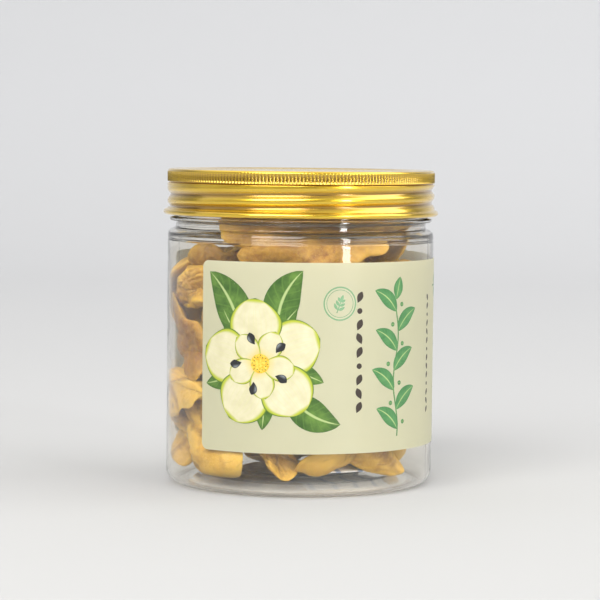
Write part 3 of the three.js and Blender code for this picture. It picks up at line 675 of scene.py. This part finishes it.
def gold_lid():
    """Sunk top panel with a turned ring, round shoulder, ribbed band, thin waist, rolled thread and curled rim,
    with the sheet's inner face one wall inside it."""
    curl_z = LID_BOTTOM_Z + CURL_RADIUS
    inner_bead = BEAD_RADIUS - LID_WALL
    inside = [
        (0, LID_TOP_Z - PANEL_STEP - LID_WALL, 0), (PANEL_RADIUS, LID_TOP_Z - PANEL_STEP - LID_WALL, 0.4),
        (PANEL_RADIUS + 1, LID_TOP_Z - LID_WALL, 0.4), (40.6, LID_TOP_Z - LID_WALL, 0.6),
        (KNURL_RADIUS - LID_WALL - 0.3, KNURL_TOP_Z - 0.4, 0.5),
        (KNURL_RADIUS - LID_WALL - 0.3, KNURL_LOW_Z + 0.2, 0.3), (WAIST_RADIUS - LID_WALL, KNURL_LOW_Z - 0.18, 0.2),
        *[(inner_bead, z, 0) for z in np.linspace(BAND_TOP_Z - 0.1, THREAD_LOW_Z, 12)],
    ]
    outside = [
        *arc(CURL_CENTRE, curl_z, CURL_RADIUS, 180, 460, 11),
        *[(BEAD_RADIUS, z, 0) for z in np.linspace(THREAD_LOW_Z, BAND_TOP_Z - 0.15, 25)],
        (BEAD_RADIUS, BAND_TOP_Z, 0.2), (WAIST_RADIUS, KNURL_LOW_Z - 0.18, 0.2), (KNURL_RADIUS, KNURL_LOW_Z, 0.15),
        *[(KNURL_RADIUS, z, 0) for z in np.linspace(KNURL_LOW_Z + 0.3, KNURL_TOP_Z, 5)],
        *arc(KNURL_RADIUS - LID_ROUND, KNURL_TOP_Z, LID_ROUND, 0, 90, 6)[1:],
        (PANEL_RADIUS + 1.2, LID_TOP_Z, 0.5), (PANEL_RADIUS, LID_TOP_Z - PANEL_STEP, 0.5),
        (PANEL_RING_RADIUS + PANEL_RING_WIDTH / 2, LID_TOP_Z - PANEL_STEP, 0.2),
        (PANEL_RING_RADIUS, LID_TOP_Z - PANEL_STEP - PANEL_RING_DEPTH, 0.15),
        (PANEL_RING_RADIUS - PANEL_RING_WIDTH / 2, LID_TOP_Z - PANEL_STEP, 0.2), (0, LID_TOP_Z - PANEL_STEP, 0),
    ]
    outline = rounded(inside + outside, 3)
    outer_from = len(rounded(inside, 3))
    angles = np.linspace(0, FULL_TURN, KNURLS * KNURL_COLUMNS, endpoint=False)

    def push(angle, radius, height):
        outer = np.zeros_like(radius)
        outer[:, outer_from:] = 1
        return -lid_groove(angle, height) * GROOVE_DEPTH - lid_ribs(angle, height) * KNURL_DEPTH * outer

    lid = spun("lid_gold_sheet", outline, angles, push)
    points = mesh_points(lid.data)
    angle = np.mod(np.arctan2(points[:, 1], points[:, 0]), FULL_TURN)
    # Painted shade: hollow darkens the lacquer's colour in the grooves, between the ribs and round the thin waist.
    hollow = 0.95 * lid_groove(angle, points[:, 2]) ** 2 + lid_ribs(angle, points[:, 2])
    waist = np.exp(-((points[:, 2] - KNURL_LOW_Z + 0.18) / 0.16) ** 2)
    set_attribute(lid, "hollow", np.clip(hollow + 0.8 * waist, 0, 1))
    return dress(lid, "lid", "gold_lid", gold_sheet(), "lid")


def sealing_disc():
    """The liner: a thin disc with soft edges."""
    edge = LINER_HIGH[0]
    outline = rounded([
        (0, LINER_LOW[2], 0), (edge - 4, LINER_LOW[2], 0), (edge, LINER_LOW[2], 0.2), (edge, LINER_HIGH[2], 0.2),
        (edge - 4, LINER_HIGH[2], 0), (0, LINER_HIGH[2], 0),
    ])
    disc = spun("lid_foam_disc", outline, np.linspace(0, FULL_TURN, 144, endpoint=False), sharp=40)
    return dress(disc, "liner", "foam_liner", foam(), "lid_liner")


# Label

def on_label(place, lift):
    """Millimetres along and up the flat label become a point on the jar's wall, lift off the label's face."""
    angle = LABEL_START + place[..., 0] / LABEL_OUTER
    radius = LABEL_OUTER + lift
    return np.stack([radius * np.cos(angle), radius * np.sin(angle), LABEL_BOTTOM_Z + place[..., 1]], -1)


def label_sheet():
    """A thin sheet round the wall. Its half height shrinks within a corner's radius of each end, as the corner's
    circle does, so its four corners are round."""
    inside_corner = np.linspace(0, 1, 9) ** 2 * LABEL_CORNER
    middle = np.linspace(LABEL_CORNER, LABEL_LENGTH - LABEL_CORNER, 220)
    along = np.unique(np.concatenate([inside_corner, middle, LABEL_LENGTH - inside_corner]))
    short = np.clip(LABEL_CORNER - np.minimum(along, LABEL_LENGTH - along), 0, LABEL_CORNER)
    cut = LABEL_CORNER - np.sqrt(LABEL_CORNER ** 2 - short ** 2)
    angle = LABEL_START + along / LABEL_OUTER
    low = LABEL_BOTTOM_Z + cut
    high = LABEL_HIGH[2] - cut
    ring = []
    for radius, height in ((LABEL_INNER, low), (LABEL_OUTER, low), (LABEL_OUTER, high), (LABEL_INNER, high)):
        ring.append(np.stack([radius * np.cos(angle), radius * np.sin(angle), height], -1))
    points = np.stack(ring, 1).reshape(-1, 3)
    faces = grid_faces(len(along), 4, False, True).tolist()
    last = 4 * (len(along) - 1)
    faces += [[0, 1, 2, 3], [last + 3, last + 2, last + 1, last]]
    sheet = smoothed(merged(to_mesh("label_sheet", points, faces), 0.00001), sharp=30)
    return dress(sheet, "jar", "label", print_film("label_ground_print", label_ground, 0.42), "label")


class Print:
    """Motifs of one ink, laid as thin patches on the label and made into one piece."""

    def __init__(self, name, ink):
        self.name = name
        self.ink = ink
        self.points = []
        self.places = []
        self.faces = []
        self.count = 0

    def patch(self, grid, lift):
        """Adds a grid of places along and up the label, whose rows run along the motif and columns across it."""
        rows, columns = grid.shape[:2]
        along, across = np.meshgrid(np.linspace(0, 1, rows), np.linspace(0, 1, columns), indexing="ij")
        self.points.append(on_label(grid, lift).reshape(-1, 3))
        self.places.append(np.stack([along, across], -1).reshape(-1, 2))
        self.faces.append(grid_faces(rows, columns, False, False, self.count))
        self.count += rows * columns

    def blade(self, root, tip, width, lift, bow=0.0, belly=1.0, power=0.8, rows=20, columns=9):
        """A leaf, petal, seed or dot. Its spine runs from root to tip with a parabolic bow to one side. Its half
        width is half the width times a sine of the way along, to a power, fullest where belly says."""
        root = np.array(root, dtype=float)
        reach = np.array(tip, dtype=float) - root
        t = np.linspace(0, 1, rows)
        side = np.array([-reach[1], reach[0]])
        spine = root + reach * t[:, None] + side * (bow * 4 * t * (1 - t))[:, None]
        heading = np.gradient(spine, axis=0)
        heading /= np.linalg.norm(heading, axis=1)[:, None]
        normal = np.stack([-heading[:, 1], heading[:, 0]], -1)
        half = width / 2 * np.sin(math.pi * t ** belly) ** power
        across = np.linspace(-1, 1, columns)
        self.patch(spine[:, None] + normal[:, None] * half[:, None, None] * across[None, :, None], lift)

    def dot(self, centre, radius, lift):
        """A round dot: a blade whose half width follows a circle."""
        t = np.linspace(0, 1, 13)
        turn = math.pi * t
        x = -radius * np.cos(turn)
        half = radius * np.sin(turn)
        across = np.linspace(-1, 1, 7)
        grid = np.stack([np.broadcast_to(x[:, None], (13, 7)), half[:, None] * across], -1)
        self.patch(grid + np.array(centre), lift)

    def line(self, path, width, lift):
        """A stroke of even width along a path of places."""
        path = np.asarray(path, dtype=float)
        heading = np.gradient(path, axis=0)
        heading /= np.linalg.norm(heading, axis=1)[:, None]
        normal = np.stack([-heading[:, 1], heading[:, 0]], -1)
        across = np.linspace(-width / 2, width / 2, 3)
        self.patch(path[:, None] + normal[:, None] * across[None, :, None], lift)

    def finish(self):
        piece = to_mesh(self.name, np.concatenate(self.points), np.concatenate(self.faces))
        set_layout(piece, np.concatenate(self.places))
        return dress(piece, "jar", "label", print_film(self.name + "_ink", self.ink))


def polar(centre, degrees, distance):
    """A place at a distance and bearing from a centre on the flat label."""
    angle = math.radians(degrees)
    return (centre[0] + distance * math.cos(angle), centre[1] + distance * math.sin(angle))


class LabelArt:
    """The label's generic painted design: a large blossom with leaves, a leafy vine, a line of seeds and a plain
    ring with a sprig, in the greens, creams, yellow and brown of the fruit."""

    def __init__(self):
        self.petals = Print("label_petals", petal_ink)
        dark_leaf = leaf_ink(linear(104, 140, 62), linear(58, 92, 40))
        self.sepals = Print("label_sepals", dark_leaf)
        self.leaves = Print("label_dark_leaves", dark_leaf)
        self.vines = Print("label_vine", leaf_ink(linear(98, 152, 94), linear(66, 124, 72)))
        self.seeds = Print("label_seeds", seed_ink)
        self.cores = Print("label_core", core_ink)
        self.beads = Print("label_brown_line", lambda finish: linear(60, 50, 43))
        self.rings = Print("label_ring", lambda finish: linear(124, 168, 124))

    def blossom(self, centre, size, turn):
        for k in range(5):
            bearing = turn + 36 + k * 72
            self.sepals.blade(polar(centre, bearing, 0.3 * size), polar(centre, bearing, 1.02 * size), 0.34 * size,
                              0.03, bow=0.05, belly=0.85)
        for k in range(5):
            bearing = turn + k * 72
            self.petals.blade(polar(centre, bearing, 0.05 * size), polar(centre, bearing + 3, size), 0.86 * size,
                              0.045 + 0.01 * k, bow=0.04, belly=1.25, power=0.62, rows=30, columns=17)
        for k in range(5):
            bearing = turn + 10 + k * 72
            self.petals.blade(polar(centre, bearing + 30, 0.03 * size), polar(centre, bearing + 34, 0.55 * size),
                              0.4 * size, 0.1 + 0.01 * k, bow=-0.04, belly=1.2, power=0.62, rows=24, columns=13)
        self.cores.dot(centre, 0.15 * size, 0.16)
        for k in range(5):
            bearing = turn + 14 + k * 72
            self.seeds.blade(polar(centre, bearing, 0.3 * size), polar(centre, bearing + 4, 0.5 * size), 0.13 * size,
                             0.16, bow=0.08, belly=1.3)
        for k in range(16):
            bearing = turn + k * 22.5
            self.beads.dot(polar(centre, bearing, (0.1 + 0.025 * (k % 2)) * size), 0.008 * size, 0.17)

    def sprig(self, root, degrees, length, print_of, pairs=3, lift=0.014):
        tip = polar(root, degrees, length)
        steps = np.linspace(0, 1, 12)[:, None]
        print_of.line(np.array(root) + (np.array(tip) - np.array(root)) * steps, 0.035 * length + 0.12, lift - 0.004)
        for k in range(pairs):
            at = polar(root, degrees, length * (0.18 + 0.24 * k))
            for side in (-1, 1):
                print_of.blade(at, polar(at, degrees + side * 48, 0.42 * length * (1 - 0.16 * k)), 0.16 * length,
                               lift + 0.002 * k, bow=0.08 * side)
        print_of.blade(polar(root, degrees, 0.66 * length), polar(root, degrees, 1.06 * length), 0.17 * length, lift)

    def vine(self, middle, low, high, leaf, lift=0.014):
        heights = np.linspace(low, high, 90)
        sway = 0.09 * leaf * np.sin(heights / leaf * 2.4)
        self.vines.line(np.stack([middle + sway, heights], -1), 0.5, lift - 0.004)
        count = int((high - low) / (0.52 * leaf))
        for k in range(count):
            height = low + (high - low) * (k + 0.35) / count
            side = 1 if k % 2 else -1
            at = (middle + 0.09 * leaf * math.sin(height / leaf * 2.4), height)
            self.vines.blade(at, polar(at, 90 - side * 52, leaf), 0.44 * leaf, lift, bow=0.1 * side, belly=0.9)
            self.vines.dot(polar(at, 90 + side * 48, 0.3 * leaf), 0.065 * leaf, lift)
        self.vines.blade((middle, high - 0.2), (middle + 0.15 * leaf, high + 0.62 * leaf), 0.36 * leaf, lift)

    def seed_line(self, middle, low, high, size):
        count = int((high - low) / (0.95 * size))
        for k in range(count):
            height = low + (high - low) * (k + 0.5) / count
            if k % 4 == 3:
                self.beads.dot((middle, height), 0.2 * size, 0.012)
            else:
                slant = 24 if k % 2 else -24
                self.beads.blade(polar((middle, height), 90 + slant + 180, 0.42 * size),
                                 polar((middle, height), 90 + slant, 0.42 * size), 0.46 * size, 0.012, belly=1.2)

    def ring(self, centre, radius):
        turn = np.linspace(0, FULL_TURN, 61)
        for part, width in ((1.0, 0.42), (0.84, 0.16)):
            path = np.stack([np.cos(turn), np.sin(turn)], -1) * radius * part + np.array(centre)
            self.rings.line(path, width, 0.012)
        self.sprig(polar(centre, -110, 0.6 * radius), 70, 1.1 * radius, self.rings)

    def finish(self):
        for ink in (self.petals, self.sepals, self.leaves, self.vines, self.seeds, self.cores, self.beads, self.rings):
            ink.finish()


def label_art():
    """Front: the blossom low at the left, the ring above the vine's foot, the line of seeds and the vine. Back: the
    same motifs smaller, with plain rules between them."""
    art = LabelArt()
    art.leaves.blade((15, 30), (3, 55), 12, 0.015, bow=-0.12)
    art.leaves.blade((27, 34), (34, 56), 11, 0.015, bow=0.14)
    art.leaves.blade((29, 20), (46, 9), 10, 0.015, bow=-0.12)
    art.blossom((21, 27.5), 20, 20)
    art.ring((45.5, 46), 5.0)
    art.seed_line(52, 12, 50, 4.4)
    art.vine(66, 4.5, 47, 11)
    art.seed_line(85, 10, 48, 2.8)
    for k in range(9):
        height = 8 + 4.6 * k
        art.beads.line(np.stack([np.linspace(96, 132 - 5 * (k % 3), 20), np.full(20, height)], -1), 0.32, 0.012)
    art.sprig((92, 50), 0, 13, art.vines)
    art.blossom((158, 30), 15, 8)
    art.vine(182, 6, 48, 7)
    art.ring((202, 42), 5.2)
    art.sprig((196, 10), 55, 17, art.leaves)
    art.finish()


# Dried fruit

def own_axes(points):
    """The middle and the axes of a node's points, longest first. The third axis points to where its edges curl."""
    middle = (points.max(0) + points.min(0)) / 2
    axes = np.linalg.svd(points - points.mean(0), full_matrices=False)[2]
    own = (points - middle) @ axes.T
    curl = np.mean((own[:, 1] ** 2 + 0.3 * own[:, 0] ** 2) * (own[:, 2] - own[:, 2].mean()))
    if curl < 0:
        axes[2] *= -1
    if np.linalg.det(axes) < 0:
        axes[0] *= -1
    return middle, axes


def torn_sheet(length, width, thickness, seed, count):
    """A torn, folded piece of flesh, lying flat with its edges curled up. A square grid is carried onto a disc by
    x = u sqrt(1 - v^2/2), y = v sqrt(1 - u^2/2). Sines of the bearing tear its outline into lobes. Its middle
    surface is the sum of soft V-folds, sqrt(t^2 + e^2) of the distance t from a fold line, of ripples that grow to
    the rim and of slow waves. It is then curled across its width and bent along its length. Half a lens-shaped
    thickness goes to each side along the normal, with fibres and pits on top, all of which end at the rim, where
    the two faces meet. Returns the points, the faces, and three numbers a point: rim, inside and fold."""
    random = np.random.default_rng(seed)
    line = np.sin(np.linspace(-1, 1, count) * math.pi / 2)
    u, v = np.meshgrid(line, line, indexing="ij")
    x = u * np.sqrt(1 - v * v / 2)
    y = v * np.sqrt(1 - u * u / 2)
    out = np.minimum(np.hypot(x, y), 1)
    bearing = np.arctan2(y, x)
    lobes = sum(size * np.sin(k * bearing + random.uniform(0, FULL_TURN))
                for k, size in ((2, 0.1), (3, 0.13), (5, 0.07), (8, 0.035), (13, 0.014)))
    x = x * (1 + lobes * out ** 2) * length / 2
    y = y * (1 + lobes * out ** 2) * width / 2
    flat = np.stack([x, y, np.zeros_like(x)], -1)
    rise = 0.7 * waves(flat, 13, 6, seed + 1) + 0.9 * out ** 3 * waves(flat, 8, 6, seed + 2)
    fold = np.zeros_like(x)
    for k, (lean, slope) in enumerate(((random.uniform(-0.3, 0.3), 0.55), (random.uniform(0.5, 1.0), 0.45),
                                       (random.uniform(-1.1, -0.6), 0.4), (random.uniform(-0.5, 0.5), 0.35))):
        shift = random.uniform(-0.3, 0.3) * width
        side = 1 if k % 2 else -1
        off = y * math.cos(lean) - x * math.sin(lean) - shift + 0.8 * waves(flat, 12, 4, seed + 3 + k)
        rise = rise + side * slope * (np.sqrt(off ** 2 + 0.25) - 0.5)
        fold = np.maximum(fold, np.exp(-(off / 0.7) ** 2) * (0.9 if side > 0 else 0.35))
    curl = random.uniform(0.9, 2.2) / width
    curl = curl * (1 + 0.35 * np.sin(x / length * 5 + random.uniform(0, FULL_TURN)))
    bend = random.uniform(0.5, 1.3) / length
    middle = np.stack([x, np.sin(curl * y) / curl - rise * np.sin(curl * y),
                       (1 - np.cos(curl * y)) / curl + rise * np.cos(curl * y)], -1)
    lift = middle[..., 2]
    middle = np.stack([np.sin(bend * x) / bend - lift * np.sin(bend * x), middle[..., 1],
                       (1 - np.cos(bend * x)) / bend + lift * np.cos(bend * x)], -1)
    normal = np.cross(np.gradient(middle, axis=0), np.gradient(middle, axis=1))
    normal /= np.linalg.norm(normal, axis=2)[..., None] + 1e-9
    body = 0.62 * np.sqrt(1 - out ** 6) + 0.38 * (1 - out ** 2)
    body = body * (1 + 0.3 * waves(flat, 8, 6, seed + 9))
    faces = []
    details = []
    for side in (-1, 1):
        across = y + 1.1 * waves(flat, 9, 4, seed + 20 + side) + 0.35 * waves(flat, 3.5, 4, seed + 30 + side)
        fibre = 1 - np.abs(np.sin(across * math.pi / 1.7)) ** 0.8
        patch = smoothstep(waves(flat, 9, 5, seed + 40 + side), -0.7, 0.8)
        pits = np.maximum(0, waves(flat, 2.6, 10, seed + 50 + side) - 0.8)
        relief = 0.4 * (0.3 - fibre * patch) - 0.5 * pits + 0.16 * waves(flat, 1.6, 10, seed + 60 + side)
        relief = relief * (1 - out ** 10)
        faces.append(middle + normal * (side * (body * thickness / 2 + relief))[..., None])
        # Painted shade and light: crease, stored as fold, is how far the colour darkens in folds, fibre grooves and
        # pits; rim, out to the fifth power, is where it is painted lighter for light shining through.
        crease = np.clip(fold + 0.7 * fibre * patch + 0.8 * pits, 0, 1)
        inside = np.full_like(out, 0.5 + 0.5 * side) * (1 - out ** 3)
        details.append(np.stack([out ** 5, inside, crease], -1))
    points = np.stack(faces).reshape(-1, 3)
    quads = grid_faces(count, count, False, False)
    quads = np.concatenate([quads[:, ::-1], quads + count * count])
    return points, quads, np.stack(details).reshape(-1, 3)


def free_radius(height):
    """How far out the fruit may reach at a height: a large circle at the bottom, then the wall, then the neck."""
    to_neck = np.clip((height - SHOULDER_Z + 1.5) / 4.5, 0, 1)
    below = np.clip(FLOOR_Z + PILE_ROUND - height, 0, PILE_ROUND)
    heel = INNER_RADIUS - PILE_ROUND + np.sqrt(PILE_ROUND ** 2 - below ** 2)
    return np.minimum(heel, INNER_RADIUS + (NECK_BORE - 0.06 - INNER_RADIUS) * to_neck)


def settled(points, middle):
    """A piece laid to rest in the pile. It sinks where it is too high for the pile, and leans on the wall or keeps
    off it as its place asks. What would pass through the wall or the floor is then pressed flat against it: the
    radius nears the free one by an exponential of how far past it the point would be."""
    left = middle[0] < LEFT_X
    too_high = points[:, 2].max() - np.interp(middle[0], *PILE_TOP)
    points[:, 2] -= np.clip(too_high, 0, MOST_DROP)
    points[:, 2] += max(0, FLOOR_Z - points[:, 2].min())
    gap = HIGH_LEFT_GAP if left and middle[2] > HIGH_LEFT_Z else -WALL_PRESS
    gap = -LOW_LEFT_PRESS if left and middle[2] < LOW_LEFT_Z else gap
    beyond = (np.linalg.norm(points[:, :2], axis=1) - free_radius(points[:, 2])).max() + gap
    centre = points[:, :2].mean(0)
    distance = np.linalg.norm(centre)
    if beyond > 0 or distance > WALL_PIECE_DISTANCE:
        points[:, :2] -= max(beyond, -WALL_REACH) * centre / distance
    radius = np.linalg.norm(points[:, :2], axis=1)
    free = free_radius(points[:, 2])
    over = np.maximum(radius - free + SOFT_EDGE, 0)
    pressed = np.where(over > 0, free - SOFT_EDGE * np.exp(-over / SOFT_EDGE), radius)
    points[:, :2] *= (pressed / np.maximum(radius, 0.001))[:, None]
    points[:, 2] = np.clip(points[:, 2], FLOOR_Z, LINER_LOW[2] - LINER_GAP)
    return points


def flesh_piece(node, number):
    """A torn sheet grown to a node's size and settled in its place."""
    corners = np.unique(mesh_points(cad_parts[node].data).round(3), axis=0)
    middle, axes = own_axes(corners)
    own = (corners - middle) @ axes.T
    low = own.min(0)
    high = own.max(0)
    size = high - low
    count = 62
    points, faces, detail = torn_sheet(size[0], size[1] * 1.25, min(size[2] * 0.55, 5.6), 100 + 71 * number, count)
    reach = points.max(0) - points.min(0)
    points = points - (points.max(0) + points.min(0)) / 2
    left = middle[0] < LEFT_X
    growth = FRUIT_GROWTH * (LOW_LEFT_GROWTH if left and middle[2] < LOW_LEFT_Z else 1)
    growth = growth * (HIGH_GROWTH if middle[2] > HIGH_LEFT_Z else 1)
    points = points * np.clip(growth * size / reach, 0.8, 1.5) + (low + high) / 2
    points = settled(middle + points @ axes, middle)
    piece = to_mesh(node + "_flesh", points, faces)
    for column, name in enumerate(("rim", "inside", "fold")):
        set_attribute(piece, name, detail[:, column])
    smoothed(merged(piece, 0.002))
    # Painted light: pieces low in the jar keep only part of their tone, paler to lift the shade they lie in.
    tone = TONES[number % len(TONES)] * (LOW_SHADE_LIFT_TONE if middle[2] < LOW_LEFT_Z else 1)
    set_attribute(piece, "tone", np.full(len(piece.data.vertices), tone))
    return piece


def dried_fruit():
    flesh = dried_flesh()
    nodes = sorted(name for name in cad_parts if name.startswith("fruit_"))
    for number, node in enumerate(nodes):
        dress(flesh_piece(node, number), "jar", "dried_fruit", flesh, node)


def dry_sachet():
    """A pillow of thin film: its thickness is a sine of the way across and along, with crimped, rippled ends."""
    centre = (SACHET_LOW + SACHET_HIGH) / 2
    cosine = math.cos(SACHET_TURN)
    sine = math.sin(SACHET_TURN)
    along, across = np.meshgrid(np.linspace(0, 1, 61), np.linspace(0, 1, 33), indexing="ij")
    x = SACHET_LENGTH * (along - 0.5)
    y = SACHET_WIDTH * (across - 0.5)
    swell = (np.sin(math.pi * along) ** 0.5) * (np.sin(math.pi * across) ** 0.6)
    ripple = 0.12 * np.sin(along * 190) * (1 - smoothstep(np.sin(math.pi * along), 0.0, 0.25))
    crumple = 0.18 * np.sin(x * 0.9 + 2 * np.sin(y * 0.5)) * np.sin(y * 0.8) * swell
    sheets = []
    for sign in (-1, 1):
        z = sign * (SACHET_CRIMP + SACHET_SWELL * swell) + ripple + crumple * sign
        sheets.append(np.stack([x * cosine - y * sine, x * sine + y * cosine, z], -1))
    rows, columns = along.shape
    loop = np.concatenate([sheets[0], sheets[1][:, ::-1]], 1)
    points = loop.reshape(-1, 3) + centre
    faces = grid_faces(rows, 2 * columns, False, True).tolist()
    for row, order in ((0, 1), (rows - 1, -1)):
        for k in range(columns - 1):
            first = row * 2 * columns
            face = [first + k, first + k + 1, first + 2 * columns - 2 - k, first + 2 * columns - 1 - k]
            faces.append(face[::order])
    piece = to_mesh("sachet_pillow", points, faces)
    places = np.stack([along, across], -1)
    set_layout(piece, np.concatenate([places, places[:, ::-1]], 1))
    smoothed(merged(piece, 0.00001))
    return dress(piece, "jar", "sachet", stripe_film(), "sachet")


# Studio

def seamless_cove():
    """A pale sweep: a flat floor that turns up into a wall through a quarter circle."""
    bend = np.radians(np.linspace(-90, 0, 24))
    y = np.concatenate([[-8.0], 1.1 + 0.9 * np.cos(bend), [2.0]])
    z = np.concatenate([[0.0], 0.9 + 0.9 * np.sin(bend), [3.4]])
    x = np.linspace(-12, 12, 9)
    across, out = np.meshgrid(x, y, indexing="ij")
    points = np.stack([across, out, np.broadcast_to(z, across.shape)], -1)
    faces = grid_faces(len(x), len(y), False, False)
    cove = to_mesh("studio_cove", points.reshape(-1, 3) / MM, faces)
    finish = Finish("studio_paper")
    depth = finish.node("SeparateXYZ", {0: finish.place()}).outputs[1]
    finish.surface({
        "Base Color": finish.ramp(finish.span(depth, -1.5, 1.6, 0.0, 1.0), [
            (0.0, (0.16, 0.16, 0.16)), (0.32, (0.48, 0.475, 0.46)), (0.53, (0.54, 0.535, 0.525)),
            (1.0, (0.68, 0.68, 0.685))]),
        "Roughness": 0.85,
        "Specular IOR Level": 0.2,
    })
    cove.data.materials.append(finish.material)


def softbox(name, azimuth, elevation, distance, width, height, power, colour=(1, 1, 1)):
    """A rectangular light aimed at the jar's middle. Azimuth 0 is behind the camera and 90 to its right."""
    data = bpy.data.lights.new(name, "AREA")
    data.shape = "RECTANGLE"
    data.size = width
    data.size_y = height
    data.energy = power
    data.color = colour
    light = bpy.data.objects.new(name, data)
    bpy.context.collection.objects.link(light)
    a = math.radians(azimuth)
    e = math.radians(elevation)
    back = Matrix.Rotation(a, 4, "Z") @ Matrix.Rotation(math.radians(90) - e, 4, "X")
    light.matrix_world = Matrix.Translation((0, 0, 0.06)) @ back @ Matrix.Translation((0, 0, distance))


def studio():
    seamless_cove()
    softbox("light_left", -22, 38, 1.6, 1.2, 1.0, 23.5)
    softbox("light_strip", 39, 8, 1.4, 0.16, 1.0, 6.8)
    softbox("light_top", 180, 60, 2.4, 3.0, 2.0, 15.0)
    softbox("light_fill", 80, 40, 2.4, 2.4, 1.6, 27.0)
    world = bpy.data.worlds.new("studio_air")
    world.use_nodes = True
    tree = world.node_tree
    toward = tree.nodes.new("ShaderNodeTexCoord")
    axes = tree.nodes.new("ShaderNodeSeparateXYZ")
    shade = tree.nodes.new("ShaderNodeValToRGB")
    tree.links.new(toward.outputs["Generated"], axes.inputs[0])
    tree.links.new(shade.outputs["Color"], tree.nodes["Background"].inputs[0])
    span = tree.nodes.new("ShaderNodeMapRange")
    tree.links.new(axes.outputs[1], span.inputs[0])
    tree.links.new(span.outputs[0], shade.inputs["Fac"])
    span.inputs[1].default_value = -1.0
    span.inputs[2].default_value = 0.4
    for element, (position, grey) in zip(shade.color_ramp.elements, ((0.1, 0.32), (0.9, 0.9))):
        element.position = position
        element.color = (grey, grey * 1.01, grey * 1.03, 1)
    tree.nodes["Background"].inputs[1].default_value = 0.95
    scene = bpy.context.scene
    scene.world = world
    scene.view_settings.view_transform = "Standard"
    scene.view_settings.look = "None"
    scene.cycles.use_denoising = True
    scene.cycles.diffuse_bounces = 8
    scene.cycles.max_bounces = 20
    scene.cycles.transmission_bounces = 16
    scene.cycles.transparent_max_bounces = 24


photograph_camera()
clear_jar()
gold_lid()
sealing_disc()
label_sheet()
label_art()
dried_fruit()
dry_sachet()
studio()
